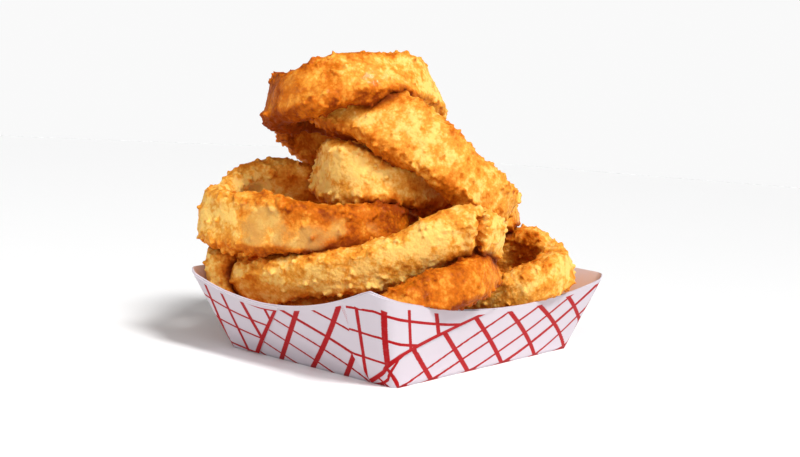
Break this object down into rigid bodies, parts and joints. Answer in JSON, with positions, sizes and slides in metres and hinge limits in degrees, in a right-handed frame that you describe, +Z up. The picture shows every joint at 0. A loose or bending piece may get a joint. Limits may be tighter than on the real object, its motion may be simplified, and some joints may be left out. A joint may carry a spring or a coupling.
{
  "type": "onion rings side",
  "caption": "Battered and fried onion rings of mixed sizes heaped in a folded paperboard food tray with a red plaid print.",
  "frame": {"origin": "middle of the tray's flat underside, on the surface that it stands on", "axes": "+Z up, Y along the tray's length, X across it; the end corner between +X and -Y faces the viewer"},
  "size_m": [0.1439, 0.1756, 0.1348],
  "materials": {
    "paper": "satin white board with a red plaid print",
    "batter": "crisp golden fried batter"
  },
  "bodies": {
    "root": {"paper_tray": "paper", "ring_top": "batter", "ring_leaning": "batter", "ring_middle": "batter", "ring_left": "batter", "ring_front": "batter", "ring_under_front": "batter", "ring_corner_left": "batter", "ring_corner_right": "batter", "ring_right": "batter", "ring_back": "batter", "ring_back_right": "batter", "ring_back_floor": "batter", "ring_back_left_floor": "batter"}
  },
  "joints": []
}
